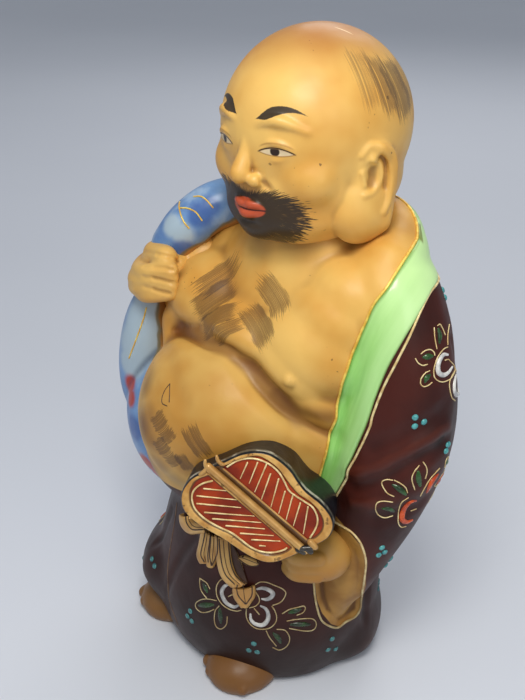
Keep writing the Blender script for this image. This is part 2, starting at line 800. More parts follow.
headShape = {
    "centre": (3, 22, 215.5),
    "turn": 6,  # degrees to the figure's left
    "skull": [
        ((0, 0, 0), (32, 35.5, 33.3)),
        ((0, 5, -17), (28, 28, 22)),
        ((0, -9, -17), (28, 25, 19)),
        ((0, -9, -25), (26.5, 25, 15)),
        ((14, -20, -12), (13, 11, 11)),
        ((-14, -20, -12), (13, 11, 11)),
        ((0, -27, -29), (10, 7, 7)),
    ],
    "middle": [  # the nose and the lips
        [(0, -32.5, 3, 2.4), (0, -34.3, -4, 2.6), (0, -37.2, -10.5, 3.5)],
        [
            (-8, -30.6, -22.2, 0.9), (-3.2, -34.6, -20.9, 1.5), (0, -34.7, -21.5, 1.3),
            (3.2, -34.6, -20.9, 1.5), (8, -30.6, -22.2, 0.9),
        ],
        [(-6.6, -31.2, -23.2, 1.0), (0, -34.3, -24.6, 1.9), (6.6, -31.2, -23.2, 1.0)],
    ],
    "sideLimbs": [  # on the figure's left; the other side is their mirror image
        [(4.5, -33, 5.5, 1.7), (12, -31.8, 7.8, 2.0), (20, -26, 4.6, 1.5)],
        [
            (5.0, -31.6, -2.3, 0.8), (8, -33.1, 0.0, 1.1), (12, -32.6, 0.9, 1.2),
            (15.5, -30.6, -0.2, 1.1), (18, -28, -2.4, 0.8),
        ],
        [(5.0, -31.6, -2.4, 0.7), (8.5, -32.4, -4.3, 0.9), (12.5, -31.6, -4.8, 0.9), (18, -28, -2.6, 0.7)],
        [
            (29, -10, -12, 1.5), (30.8, -9, -6, 1.9), (32.6, -5, -2, 2.2), (33.2, 0, -5, 2.3),
            (33.2, 1.5, -13, 2.3), (32.7, 0, -21, 2.8), (31.8, -2, -28, 4.0),
        ],
        [(31.6, -4, -7, 1.3), (31.8, -3, -13, 1.4), (31.0, -5.5, -18, 1.7)],
    ],
    "sideBalls": [
        ((11.5, -27.6, -2.2), (6.6, 4.2, 4.4)),
        ((4.4, -34.2, -12.4), (2.9, 3.2, 2.5)),
        ((28, -4, -13), (4.2, 8.5, 13)),
        ((27.4, -3.5, -18), (5.6, 10, 12)),
        ((26.8, -4.2, -21.5), (7.3, 11.8, 12)),
        ((25.8, -5, -24.8), (8.9, 12.6, 11.4)),
    ],
    "sideCreases": [  # stations, width, height: the nostril, the fold beside the nose, the hollow of the ear
        ([(2.3, -37.5, -15), (3.2, -36, -14.8)], 3.4, -1.6),
        ([(6.5, -34, -12), (10.5, -30.5, -17), (12, -28.5, -22)], 4, -0.8),
        ([(31, -6, -9), (30.5, -7, -16)], 7, -1.1),
    ],
    "middleCreases": [  # above, between and below the lips
        ([(0, -36, -16.5), (0, -36, -19.5)], 2.6, -0.5),
        ([(-8, -31, -22.6), (0, -35.5, -22.9), (8, -31, -22.6)], 1.6, -0.7),
        ([(-6, -31, -28), (0, -34, -28.2), (6, -31, -28)], 4, -0.7),
    ],
    "earLines": [  # picture pixels, width and height; the other ear takes their mirror image
        (
            [(362.5, 156), (369.8, 147), (380.7, 145.5), (388, 158), (391, 177), (389, 199), (384, 212)],
            4.2, 0.8,
        ),
        ([(373.4, 160.5), (380, 165.3), (380.3, 180), (373.4, 192), (365, 196)], 3.6, 0.6),
        ([(362.5, 174), (365, 185)], 3.6, 0.7),
        ([(376, 153.5), (384, 158), (385.8, 170), (384.5, 187)], 3.4, -0.45),
        ([(368.5, 168), (371, 176), (370, 184)], 6, -0.7),
    ],
}


def onHead(spot, side=1):
    cx, cy, cz = headShape["centre"]
    return cx + side * spot[0], cy + spot[1], cz + spot[2]


def headBall(ball, side=1):
    return onHead(ball[0], side), ball[1]


def headLine(stations, side=1):
    return [(*onHead(p, side), *p[3:]) for p in stations]


skull = melt("skull", [headBall(b) for b in headShape["skull"]], rounds=28)
sideBalls = [headBall(b, side) for b in headShape["sideBalls"] for side in (1, -1)]
faceLimbs = [headLine(s) for s in headShape["middle"]]
faceLimbs += [headLine(s, side) for s in headShape["sideLimbs"] for side in (1, -1)]
headSkin = melt("head", sideBalls, faceLimbs, voxel=0.52, rounds=11, keep=[skull])
found = places(headSkin)  # the ears are softened further than the face
aside = np.abs(found[:, 0] / unit - headShape["centre"][0])
amount = np.clip((aside - 24) / 4, 0, 1)[:, None]
setPlaces(headSkin, found + (relaxed(found, edgePairs(headSkin), 20) - found) * amount)
report(f"head melted, {len(headSkin.data.polygons)} faces")

for side in (1, -1):
    for stations, width, height in headShape["sideCreases"]:
        crease(headSkin, headLine(stations, side), width, height)
for stations, width, height in headShape["middleCreases"]:
    crease(headSkin, headLine(stations), width, height)

# face coordinates in grid steps: arc round the head, height, and how far forward
found = places(headSkin) / unit - np.array(headShape["centre"])
arc = 34 * np.arctan2(found[:, 0], -found[:, 1] + 2)
storeVector(headSkin, "faceMap", np.stack([arc, found[:, 2], -found[:, 1]], 1))
centre = at(*headShape["centre"])
headTurn = Matrix.Rotation(math.radians(headShape["turn"]), 4, "Z")
headTurn = Matrix.Translation(centre) @ headTurn @ Matrix.Translation(-centre)
headSkin.data.transform(headTurn)

earCast = fromPicture(skinTree(headSkin))
for spots, width, height in headShape["earLines"]:
    line = [headTurn.inverted() @ Vector(earCast(spot)[0]) for spot in spots]
    for side in (1, -1):
        mirrored = [headTurn @ Vector((centre.x + side * (p.x - centre.x), p.y, p.z)) for p in line]
        crease(headSkin, [tuple(p / unit) for p in mirrored], width, height)
storeHollows(headSkin, 40)

stubbleTone, blackHair = srgb(84, 66, 50), srgb(30, 24, 22)
# middle and a spot further down the strokes, in picture pixels; half width, half length, gaps, strength
scalpHair = [
    ((366, 78), (373, 102), 7.5, 15, 0.17, 0.5),
    ((384, 84), (391, 107), 6.5, 14, 0.06, 0.62),
    ((399, 88), (405, 109), 9, 14, 0.0, 0.72),
]
headPaint, shader, where = newPaint("headPaint")
face = value("faceMap", "Vector")
fx, fz, fy = split(face)
ax = abs(fx)
ahead = step(fy, 8.0, 12.0)
skin = skinColour(where)
crown = grain(where, 25, 2) * 8.0 + (fz - 4.0)
skin = over(step(crown, 17.0, 33.0) * 0.8, skin, srgb(160, 98, 34))
headTree = skinTree(headSkin)
headCast = fromPicture(headTree)
for centre, tip, width, length, thin, strength in scalpHair:
    patch = strokeFrame(headCast, centre, tip, width, length, 8)
    patch.update(strokes=2.2 * width, wash=0.7, strength=strength, bend=0.12, thin=thin)
    skin = hairPatch(where, skin, patch, stubbleTone)
for azimuth, height, turn in ((146, 231, 6), (176, 229, 2), (206, 230, -2), (238, 232, -6)):
    patch = strokeFrame(fromSide(headTree, azimuth, height, turn), (0, 0), (0, -8), 14, 13, 9)
    patch.update(strokes=30, wash=0.6, strength=0.55, bend=0.1, thin=0.09)
    skin = hairPatch(where, skin, patch, stubbleTone)

scratch = strokeFrame(headCast, (344, 30.3), (351, 33.5), 0.4, 3.8, 4)
scratchAway = addNode("VectorMath", {0: boxed(where, scratch)}, "Value", operation="LENGTH")
skin = over(step(scratchAway, 1.0, 0.7) * 0.6, skin, srgb(250, 226, 180))


def ringDistance(x, y, cx, cy, rx, ry):
    # below one inside the ellipse
    dx = (x - cx) / rx
    dy = (y - cy) / ry
    return (dx * dx + dy * dy) ** 0.5


# beard: strokes that fan out round the mouth
mouthUp = fz + 22.5
around = calc("ARCTAN2", fx, mouthUp * -1)  # 0 straight down, pi straight up
reach = (fx * fx + mouthUp * mouthUp) ** 0.5
border = addNode("FloatCurve", {"Value": abs(around) / math.pi})
curve = border.socket.node.mapping
shape = curve.curves[0]
for spot, height in (
    (0.0, 0.50), (0.18, 0.62), (0.38, 0.80), (0.52, 0.78), (0.66, 0.52), (0.82, 0.28), (1.0, 0.22),
):
    if spot in (0.0, 1.0):
        shape.points[0 if spot == 0 else -1].location = (spot, height)
    else:
        shape.points.new(spot, height)
curve.update()
border = border * 29.0
polar = addNode("CombineXYZ", {0: around * 42.0, 1: reach * 0.2})
hairs = grain(polar, 1.0, 2)
fine = grain(stretched(polar, (2.2, 1.0, 1.0)), 1.0, 1)
edge = border * (hairs * 0.85 + 0.55)
beard = step(edge - reach, 0.0, 1.6)
gaps = step(fine + reach / border * -0.3, 0.0, 0.16)
beard = beard * gaps * ahead
skin = over(beard * 0.96, skin, blackHair)

# lips
lipRing = ringDistance(ax, fz, 0.0, -22.7, 7.4, 3.4)
lips = step(lipRing, 1.05, 0.92)
lipLine = step(abs(fz + 22.8), 0.45, 0.2)
lipTone = over(lipLine, srgb(188, 80, 46), srgb(92, 32, 20))
skin = over(lips * ahead, skin, lipTone)

# brows: a black arch on each side, thick at the inner end and drawn out thin
browRun = (ax - 4.2) / 17.5
browRise = calc("SINE", browRun * 2.7) * 3.6 + 7.6
browUp = abs(fz - browRise)
browThick = (1.0 - browRun) * 2.5
browThick = browThick * step(browRun, -0.06, 0.3)
browHair = grain(stretched(face, (1.9, 0.5, 0.0)), 1.0, 2)
browEdge = browThick + (browHair * 0.3 - 0.15)
brow = step(browEdge - browUp, 0.0, 0.3)
brow = brow * step(browRun, 1.0, 0.96)
skin = over(brow * ahead * 0.96, skin, blackHair)

# eyes: half closed and calm, a dark iris under the upper lid, brown lid lines
eyeRun = ((ax - 11.6) / 5.8) ** 2.0
lidTop = eyeRun * -1.7 - 0.7
lidLow = eyeRun * 0.9 - 3.3
openEye = smaller(lidTop - fz, fz - lidLow)
eye = step(openEye, 0.0, 0.3) * ahead
iris = step(ringDistance(ax, fz, 11.2, -1.8, 1.55, 1.55), 1.1, 0.85)
eyeTone = over(iris, srgb(222, 200, 160), srgb(44, 28, 18))
skin = over(eye, skin, eyeTone)
beside = step(eyeRun, 1.25, 0.85)
lash = step(abs(fz - (lidTop + 0.15)), 0.38, 0.15) * beside
skin = over(lash * ahead, skin, srgb(58, 34, 18))
lowLine = step(abs(fz - lidLow), 0.3, 0.1) * beside
skin = over(lowLine * ahead * 0.5, skin, srgb(120, 70, 34))
lidFold = abs(fz - (eyeRun * -1.9 + 1.1))
lidFold = step(lidFold, 0.5, 0.1) * step(eyeRun, 1.1, 0.5)
skin = over(lidFold * ahead * 0.45, skin, srgb(128, 76, 34))
skinFinish(shader, where, skin)
finishPiece(headSkin, headPaint)
report("head painted")

# the fist, the fan hand and the feet share one plain skin
skinPaint, shader, where = newPaint("skinPaint")
side, _, height = split(where)
footShade = step(height, 0.03, 0.012)
handShade = step(height, 0.1, 0.055)
lowTone = over(handShade * 0.5, skinColour(where), srgb(128, 76, 30))
fistShade = step(side, -0.047, -0.064)
lowTone = over(fistShade * 0.45 + 0.12, lowTone, srgb(150, 88, 32))
skinFinish(shader, where, over(footShade * 0.75, lowTone, srgb(96, 60, 30)))

fist = {
    "balls": [
        ((-47, -11, 150), (14, 12, 10.5), (0, 0, 15)), ((-45, -13, 156), (12, 9, 7.5)),
        ((-41, 4, 152), (14, 16, 17)),
    ],
    "thumb": [(-56, -9, 156, 5.2), (-49, -15, 159, 5.4), (-37, -18, 162, 4.8)],
    "rows": ((153.5, -1), (150, 1), (146.5, 1), (143.5, -2)),  # height and how far the finger stands out
    "grooves": [  # picture pixels
        [(144, 252), (156, 254), (168, 256.5), (179, 261)],
        [(144, 266.5), (153, 267), (163, 268), (173, 270.5)],
        [(143, 277), (153, 278.5), (162, 280.5), (172, 283)],
        [(144, 287), (153, 289.5), (161, 292), (169, 294)],
    ],
}
fingers = [fist["thumb"]]
for z, reach in fist["rows"]:
    fingers.append([
        (-58, -2, z, 3.0), (-60.5 - reach, -12, z, 3.1), (-52, -22.5 - reach, z, 3.3),
        (-41, -24.5, z + 3, 3.2), (-31, -19.5, z + 6, 3.0),
    ])
rightFist = melt("rightFist", fist["balls"], fingers, 0.6, 26)
for spots in fist["grooves"]:  # they fade out on the back of the hand
    fistCast = fromPicture(skinTree(rightFist))
    line = [tuple(Vector(fistCast(spot)[0]) / unit) for spot in spots]
    crease(rightFist, line, 3.0, -0.4)
    crease(rightFist, line[1:], 3.0, -0.55)
storeHollows(rightFist, 30)
finishPiece(rightFist, skinPaint)

fanHand = {
    "balls": [
        ((46, -7.5, 66.5), (10.5, 11, 9), (0, 15, -30)),
        ((44.5, -12, 64), (8.5, 8.5, 6.5), (0, 10, -30)),
    ],
    "fingers": [[(51, -14, z, 2.8), (45, -19, z - 0.5, 3.0), (40, -19, z - 1, 2.8)] for z in (71, 67, 63)],
}
leftHand = melt("leftHand", fanHand["balls"], fanHand["fingers"], 0.6, 5)
storeHollows(leftHand, 30)
finishPiece(leftHand, skinPaint)

for name, x in (("rightFoot", -28), ("leftFoot", 23)):
    toes = []
    for dx in (-9, -4.5, 0, 4.5, 9):
        back = abs(dx + 2)  # the outer toes lie further back
        toes.append([(x + dx, -36 + back * 0.35, 4.5, 3.4), (x + dx * 1.1, -41.5 + back * 0.5, 3.6, 3.0)])
    foot = melt(name, [((x, -28, 4), (14, 15.5, 9.5))], toes, 0.6, 4)
    levelCut(foot)
    storeHollows(foot, 30)
    finishPiece(foot, skinPaint)
report("hands and feet are made")

sackShape = {
    "bag": [((-43, 5, 86), (30, 39, 42), (0, -6, 0)), ((-34, 26, 128), (26, 24, 36), (0, -10, 0))],
    "neck": [
        (-36, 26, 134, 18), (-27, 33, 162, 14), (-28, 22, 177, 11), (-34, 6, 179, 9.8),
        (-40, -4, 172, 9.5), (-46, -9, 162, 9),
    ],
    "end": [((-55.5, -19, 115), (11.5, 9.5, 31), (-4, 8, 30))],
}
sack = melt("sack", [*sackShape["bag"], *sackShape["end"]], [sackShape["neck"]], 0.9, 14)
storeHollows(sack, 26)
sackTree = skinTree(sack)
picturedSack = fromPicture(sackTree)
sackPatches = {  # spots in picture pixels and reach in millimetres
    "pale": [
        ((145, 325), 12), ((139, 345), 12), ((150, 310), 10), ((132, 362), 8), ((172, 226), 5),
        ((182, 234), 5),
    ],
    "red": [((131, 385), 4.5), ((131, 398), 4), ((146, 462), 5), ((158, 474), 4)],
    "deep": [((182, 250), 5), ((200, 215), 5), ((134, 428), 6), ((210, 206), 4)],
}
hiddenPatches = {  # azimuth, height and reach on the sides that the picture doesn't show
    "pale": [(290, 96, 10), (250, 120, 12), (225, 70, 12), (200, 150, 10)],
    "red": [(300, 62, 9), (262, 84, 11), (232, 112, 10), (205, 92, 9)],
    "deep": [(278, 118, 10), (240, 60, 12), (215, 134, 10), (190, 110, 9)],
}
found = places(sack)
for kind, spots in sackPatches.items():
    anchors = [(picturedSack(spot)[0], reach) for spot, reach in spots]
    for azimuth, height, reach in hiddenPatches[kind]:
        anchors.append((fromSide(sackTree, azimuth, height)((0, 0))[0], reach))
    amount = np.zeros(len(found))
    for place, reach in anchors:
        amount = np.maximum(amount, nearness(found, place, reach))
    storeValue(sack, kind, amount)
storeValue(sack, "fromSkin", [1000 * (trunkTree.find_nearest(Vector(p))[3] or 0) for p in found])

sackPaint, shader, where = newPaint("sackPaint")
sackGrain = grain(where, 60, 4, 0.6)
swirl = grain(stretched(where, (1.0, 1.0, 0.5)), 110, 3, 0.6)
tone = over(step(sackGrain, 0.3, 0.7), srgb(116, 156, 204), srgb(86, 122, 176))
tone = over(step(swirl, 0.5, 0.72) * 0.6, tone, srgb(168, 192, 214))
for kind, colour, strength in (
    ("pale", (172, 190, 200), 0.9), ("deep", (58, 92, 160), 0.75), ("red", (176, 48, 30), 1.0),
):
    spread = value(kind) + (swirl * 0.5 - 0.25)
    tone = over(step(spread, 0.15, 0.65) * strength, tone, srgb(*colour))
tone = over(step(value("hollow"), 0.0, 0.8) * 0.8, tone, srgb(46, 58, 88))
edgeAway = value("fromSkin") + (swirl * -4.0 + 2.0)
tone = over(step(edgeAway, 4.4, 3.4) * 0.85, tone, srgb(118, 104, 60))
tone = over(step(edgeAway, 3.2, 2.2) * 0.9, tone, srgb(176, 124, 62))
setInputs(shader, {"Base Color": tone, "Roughness": sackGrain * 0.2 + 0.22, "Normal": bumps(swirl, 0.25)})
finishPiece(sack, sackPaint)
report("sack is made")

collar = {
    "inner": [  # picture pixels, from the fan up to the neck
        (318, 483), (323, 463), (329.8, 433), (338, 400), (343.3, 379), (358.2, 339), (366, 322),
        (373, 306), (386.9, 287.3), (397.7, 270.1), (407.3, 254.8), (415.6, 241.4), (416.9, 235.7),
        (416.2, 224),
    ],
    "outer": [
        (333, 499.5), (344.7, 479.6), (355.5, 453), (367.9, 424.9), (376.2, 400), (388, 370.7), (399.7, 349),
        (411.3, 329.3), (421.5, 311), (432, 291), (437.3, 279), (439, 264), (434.7, 246), (426, 231),
    ],
    # then round the back of the neck and down under the sack: inner and outer places
    "behind": [
        ((30, 43, 184), (33, 52, 172)), ((16, 50, 186), (18, 58, 172)), ((1, 53, 186), (1, 61, 171)),
        ((-14, 48, 184), (-18, 57, 169)), ((-26, 38, 178), (-34, 48, 165)), ((-33, 22, 172), (-46, 28, 158)),
        ((-36, 8, 164), (-50, 8, 150)),
    ],
    "height": 0.0011,
    "lineWidth": 0.5,  # radius in millimetres
}


def layStrip(name, tree, first, second, rows, columns, height, edgeShare=0.2, thick=0.0016):
    # a band laid on the skin between two lines, its edges rounded down to it
    bpy.ops.mesh.primitive_grid_add(x_subdivisions=columns, y_subdivisions=rows, size=1)
    obj = bpy.context.object
    sideA, sideB = smoothPath(first, 400), smoothPath(second, 400)
    run = np.concatenate([[0], np.cumsum(np.linalg.norm(np.diff((sideA + sideB) / 2, axis=0), axis=1))])
    flat = []
    for vertex in obj.data.vertices:
        s, t = vertex.co.x + 0.5, vertex.co.y + 0.5
        k = round(t * 399)
        ground, normal, _, _ = tree.find_nearest(Vector(sideA[k] * (1 - s) + sideB[k] * s))
        rim = min(min(s, 1 - s) / edgeShare, 1)
        vertex.co = ground + normal * (height * math.sqrt(1 - (1 - rim) ** 2) - 0.00015)
        flat.append((s, run[k], t))
    storeVector(obj, "bandMap", flat)
    wall = obj.modifiers.new("wall", "SOLIDIFY")
    wall.thickness = thick
    wall.offset = -1
    soften = obj.modifiers.new("soften", "SMOOTH")
    soften.iterations = 3
    applyAll(obj)
    pickOnly(obj)
    bpy.ops.object.mode_set(mode="EDIT")
    bpy.ops.mesh.select_all(action="SELECT")
    bpy.ops.mesh.normals_make_consistent(inside=False)
    bpy.ops.object.mode_set(mode="OBJECT")
    obj.name = name
    return obj


def onSkin(tree, spots):
    cast = fromPicture(tree)
    return [tuple(cast(s)[0]) for s in spots]


innerEdge = onSkin(trunkTree, collar["inner"]) + [tuple(at(*a)) for a, b in collar["behind"]]
outerEdge = onSkin(trunkTree, collar["outer"]) + [tuple(at(*b)) for a, b in collar["behind"]]
collarBand = layStrip("collarBand", trunkTree, innerEdge, outerEdge, 260, 26, collar["height"], 0.12)

collarPaint, shader, where = newPaint("collarPaint")
band = value("bandMap", "Vector")
s, _, t = split(band)  # across the collar and along it
brushed = grain(stretched(band, (4.5, 40, 0)), 1.0, 3, 0.6)
broad = grain(stretched(band, (2.4, 16, 0)), 1.0, 1)
green = over(step(brushed, 0.25, 0.75), srgb(134, 200, 92), srgb(158, 216, 118))
green = over(step(broad, 0.5, 0.75) * 0.4, green, srgb(96, 168, 64))
outer = step(s, 0.35, 0.8) * 0.6
green = over(outer, green, srgb(188, 232, 156))
pale = step(t, 0.16, 0.5)
green = over(pale * 0.75, green, srgb(214, 248, 178))
rims = larger(step(s, 0.9, 1.0), step(s, 0.14, 0.04))
green = over(rims * 0.7, green, srgb(92, 140, 44))
worn = step(t, 0.55, 0.575) * step(t, 0.66, 0.64)
worn = worn * step(brushed * 0.25 + s, 0.42, 0.34)
green = over(worn * 0.85, green, srgb(112, 120, 34))
setInputs(shader, {
    "Base Color": green,
    "Roughness": 0.3,
    "Coat Weight": 0.25,
    "Normal": bumps(brushed, 0.3, 0.0003),
})
finishPiece(collarBand, collarPaint)
report("collar is laid")

# raised enamel is gathered here and made into pieces at the end
goldStrands, creamStrands, whiteStrands, orangeStrands, leafStrands, dots = [], [], [], [], [], []
seamStrands, inkStrands = [], []


def nearestSkin(tree):
    def cast(spot):
        place, normal, _, _ = tree.find_nearest(Vector(spot))
        return place, normal

    return cast


def zoomed(spots, origin, scale):
    return [(origin[0] + x / scale, origin[1] + y / scale) for x, y in spots]


goldStrands.append(trailed(nearestSkin(trunkTree), innerEdge, collar["lineWidth"], 0.5, 260))
outerLine = [
    (332.7, 502), (346.3, 479.6), (358, 453), (369.6, 428), (373, 415), (383, 389), (396.3, 362.4),
    (408, 339.2), (419.6, 312.7), (429.5, 292.8), (438, 277), (440, 268),
]
outerLine = onSkin(trunkTree, outerLine) + outerEdge[12:]
creamStrands.append(trailed(nearestSkin(trunkTree), outerLine, 0.44, 0.6, 260))

mouthLine = [
    (335.1, 521.7), (343.1, 526.4), (352.5, 532.5), (360.5, 542.5), (364.5, 553.2), (365.9, 563.9),
    (364, 581.3), (361, 597.4), (359.9, 608.1), (355.2, 616.2), (345.8, 621.5), (336.4, 627.5),
    (324.4, 622.9), (319, 614.8), (315, 597.4), (313.7, 582.7),
]
picturedTrunk = fromPicture(trunkTree)
creamStrands.append(trailed(picturedTrunk, mouthLine, 0.42, 0.5, 120))
seamLine = [(176.9, 503), (174.7, 521.7), (171, 543.7), (168, 565.7), (168, 580.4), (169.5, 600), (178, 625)]
seamStrands.append(trailed(picturedTrunk, seamLine, 0.22, 0.0, 60))
navel = [
    [(169.8, 383.8), (165, 390), (162, 398), (162.5, 403.5), (167, 406)],
    [(169.8, 383.8), (169.6, 393), (169.2, 402)],
]
for spots in navel:
    inkStrands.append(trailed(picturedTrunk, spots, 0.2, -0.3))


def petalRadius(size):
    return lambda t: size * (0.35 + 0.65 * math.sin(math.pi * min(max(t, 0.02), 0.98)) ** 0.6)


def addFlower(cast, place, outlines, petals, blobs, strands, petalSize=0.95):
    for spots in outlines:
        creamStrands.append(trailed(cast, place(spots), 0.21, 0.3))
    for spots in petals:
        strands.append(trailed(cast, place(spots), petalRadius(petalSize), -0.2))
    for spots in blobs:
        leafStrands.append(trailed(cast, place(spots), petalRadius(1.25), -0.45))


skirtFlower = {
    "outlines": [
        [
            (430, 80), (370, 95), (325, 160), (318, 240), (340, 320), (400, 400), (480, 450), (560, 470),
            (615, 460),
        ],
        [(465, 295), (520, 275), (560, 340)],
        [
            (790, 150), (850, 120), (930, 125), (1020, 160), (1110, 200), (1155, 250), (1130, 320),
            (1080, 370), (1000, 400),
        ],
        [(790, 240), (830, 300), (835, 360), (790, 410), (720, 430)],
        [
            (680, 440), (680, 540), (720, 620), (790, 675), (880, 690), (970, 670), (1030, 610),
            (1045, 540), (1020, 460), (990, 415),
        ],
        [(775, 440), (835, 510)],
        [(120, 75), (120, 150), (140, 230), (205, 320)],
        [(120, 75), (200, 130), (240, 200)],
        [(320, 345), (220, 325), (130, 335), (70, 380), (80, 440), (140, 485), (220, 480), (290, 450)],
        [(350, 410), (305, 470), (295, 580), (320, 660), (380, 685), (440, 630), (450, 540)],
        [(1115, 500), (1200, 450), (1300, 425), (1370, 410), (1390, 440), (1360, 490), (1290, 520)],
        [
            (1170, 590), (1290, 570), (1450, 560), (1510, 590), (1520, 650), (1480, 700), (1380, 710),
            (1200, 680),
        ],
        [(920, 710), (960, 790), (1040, 890)],
        [(1050, 690), (1140, 700), (1190, 760), (1200, 830), (1160, 900), (1080, 940), (1000, 910)],
    ],
    "petals": [
        [(465, 150), (420, 170), (385, 230), (400, 310), (450, 380), (530, 420), (585, 400)],
        [(810, 205), (880, 195), (950, 215), (1000, 260), (970, 310), (920, 330), (870, 325)],
        [
            (855, 410), (910, 440), (940, 500), (940, 570), (900, 625), (850, 640), (780, 620),
            (735, 570), (730, 510),
        ],
    ],
    "blobs": [
        [(160, 140), (185, 190), (205, 240)],
        [(110, 405), (180, 400), (280, 395)],
        [(360, 450), (365, 530), (370, 610)],
        [(1200, 490), (1270, 470), (1330, 450)],
        [(1220, 635), (1330, 630), (1440, 635)],
        [(1010, 740), (1060, 790), (1090, 850)],
    ],
}
whiteFlower = {
    "outlines": [
        [(375, 115), (385, 300), (425, 520)],
        [(440, 70), (490, 45), (540, 130), (590, 250)],
        [(120, 620), (200, 560), (300, 540), (370, 590), (385, 650)],
        [(10, 720), (60, 800), (150, 850), (240, 830)],
        [(285, 955), (200, 1000), (120, 1110), (110, 1210), (170, 1265), (260, 1240), (330, 1185)],
        [
            (640, 490), (560, 530), (460, 660), (400, 800), (365, 950), (380, 1080), (450, 1150),
            (540, 1175), (650, 1140), (720, 1080), (780, 960), (760, 850), (700, 780),
        ],
        [(590, 750), (650, 730), (680, 760)],
        [(840, 960), (790, 940), (720, 1060), (675, 1180), (680, 1320), (720, 1480), (780, 1540)],
        [(640, 440), (640, 250), (670, 50)],
    ],
    "petals": [
        [(640, 640), (560, 640), (490, 730), (450, 850), (460, 980), (540, 1040), (640, 1000), (730, 880)],
        [(800, 1040), (770, 1150), (760, 1300), (790, 1420), (850, 1400), (880, 1300)],
    ],
    "blobs": [
        [(460, 140), (485, 260), (480, 400)],
        [(170, 690), (250, 680), (340, 670)],
        [(200, 1170), (230, 1100), (290, 1040)],
    ],
}
orangeFlower = {
    "outlines": [
        [(300, 550), (200, 500), (130, 400), (110, 320), (180, 280), (280, 290)],
        [(310, 290), (420, 350), (490, 410), (520, 490)],
        [(280, 640), (120, 625), (30, 660), (10, 760), (60, 850), (160, 890), (280, 860)],
        [(705, 55), (620, 170), (590, 280), (635, 440)],
        [(770, 0), (820, 80), (830, 170), (805, 260)],
        [(530, 570), (430, 640), (385, 740), (370, 860), (375, 980), (420, 1040), (490, 1030)],
        [(575, 780), (655, 750)],
        [(725, 540), (800, 400), (880, 270), (1030, 100)],
    ],
    "petals": [
        [(650, 620), (560, 640), (480, 720), (440, 820), (440, 920), (500, 960), (590, 930)],
        [(1000, 200), (900, 320), (830, 480)],
    ],
    "blobs": [
        [(290, 370), (390, 430), (490, 520)],
        [(130, 745), (210, 750), (300, 790)],
        [(690, 160), (700, 270), (725, 380)],
    ],
}


# each flower was traced from an enlargement of the picture: its corner and its scale
addFlower(picturedTrunk, lambda s: zoomed(s, (190, 572), 12.06), **skirtFlower, strands=whiteStrands)
addFlower(
    picturedTrunk, lambda s: zoomed(s, (415, 322), 19.6), **whiteFlower, strands=whiteStrands,
    petalSize=1.0,
)
addFlower(
    picturedTrunk, lambda s: zoomed(s, (375, 462), 16), **orangeFlower, strands=orangeStrands,
    petalSize=1.15,
)

dotSpots = [
    (415.2, 417.4), (424, 421.9), (414.8, 426.2), (382, 547.6), (378.7, 555), (384.6, 552), (328, 649.6),
    (335.6, 648.8), (332, 638.8), (253.8, 643.7), (248.9, 650.3), (257.2, 652), (190.4, 611), (192, 621),
    (187.6, 616), (152, 559), (154.6, 566), (285, 565), (291, 567), (443.6, 289.6), (446.5, 297),
    (448, 444.5), (446, 451),
]
dotSize, dotFlatness = 0.0012, 0.62  # radius in metres, height as a share of it

# the same flowers again where the picture doesn't show them: on the back, the right sleeve and the skirt


def petalSpots(angle, out, length, width, share, count=9):
    # an open loop of a petal that points away from the middle
    c, s = math.cos(angle), math.sin(angle)
    spots = []
    for k in range(count):
        a = math.pi * (-share + 2 * share * k / (count - 1))
        x = out + length / 2 + math.cos(a) * length / 2
        y = math.sin(a) * width / 2
        spots.append((x * c - y * s, x * s + y * c))
    return spots


def designFlower(petals, leaves):
    outlines, inner, blobs = [], [], []
    for a in petals:
        angle = math.radians(a)
        outlines.append(petalSpots(angle, 1.0, 7.6, 6.4, 0.9))
        inner.append(petalSpots(angle, 2.2, 4.4, 3.6, 0.72))
        outlines.append([(x * 0.45, y * 0.45) for x, y in petalSpots(angle, 2.0, 5, 2, 0.3, 3)])
    for a in leaves:
        angle = math.radians(a)
        outlines.append(petalSpots(angle, 7.4, 7.0, 3.8, 0.88))
        blobs.append([(math.cos(angle) * r, math.sin(angle) * r) for r in (8.8, 11, 13.2)])
    return {"outlines": outlines, "petals": inner, "blobs": blobs}


hiddenFlowers = [  # azimuth, height, lean, petals, leaves, colour
    (168, 128, 0, (90, 210, 330), (30, 150, 270), whiteStrands),
    (200, 66, 12, (80, 200, 320), (20, 140, 260), orangeStrands),
    (140, 46, -10, (100, 220, 340), (40, 60, 160, 280), whiteStrands),
    (112, 96, 8, (60, 180, 300), (0, 120, 240), orangeStrands),
    (262, 40, 0, (90, 210, 330), (30, 150, 270), whiteStrands),
    (298, 36, -8, (70, 190, 310), (10, 130, 250), orangeStrands),
]
for azimuth, height, lean, petals, leaves, strands in hiddenFlowers:
    cast = fromSide(trunkTree, azimuth, height, lean)
    addFlower(cast, lambda spots: spots, **designFlower(petals, leaves), strands=strands)


def addDots(cast, spots):
    dots.extend(cast(spot) for spot in spots)


addDots(picturedTrunk, dotSpots)
for azimuth, height in (
    (182, 96), (150, 88), (120, 130), (95, 60), (215, 100), (235, 30), (160, 22), (276, 66), (320, 20),
    (120, 24),
):
    addDots(fromSide(trunkTree, azimuth, height), [(0, 1.9), (-1.7, -1), (1.7, -1)])

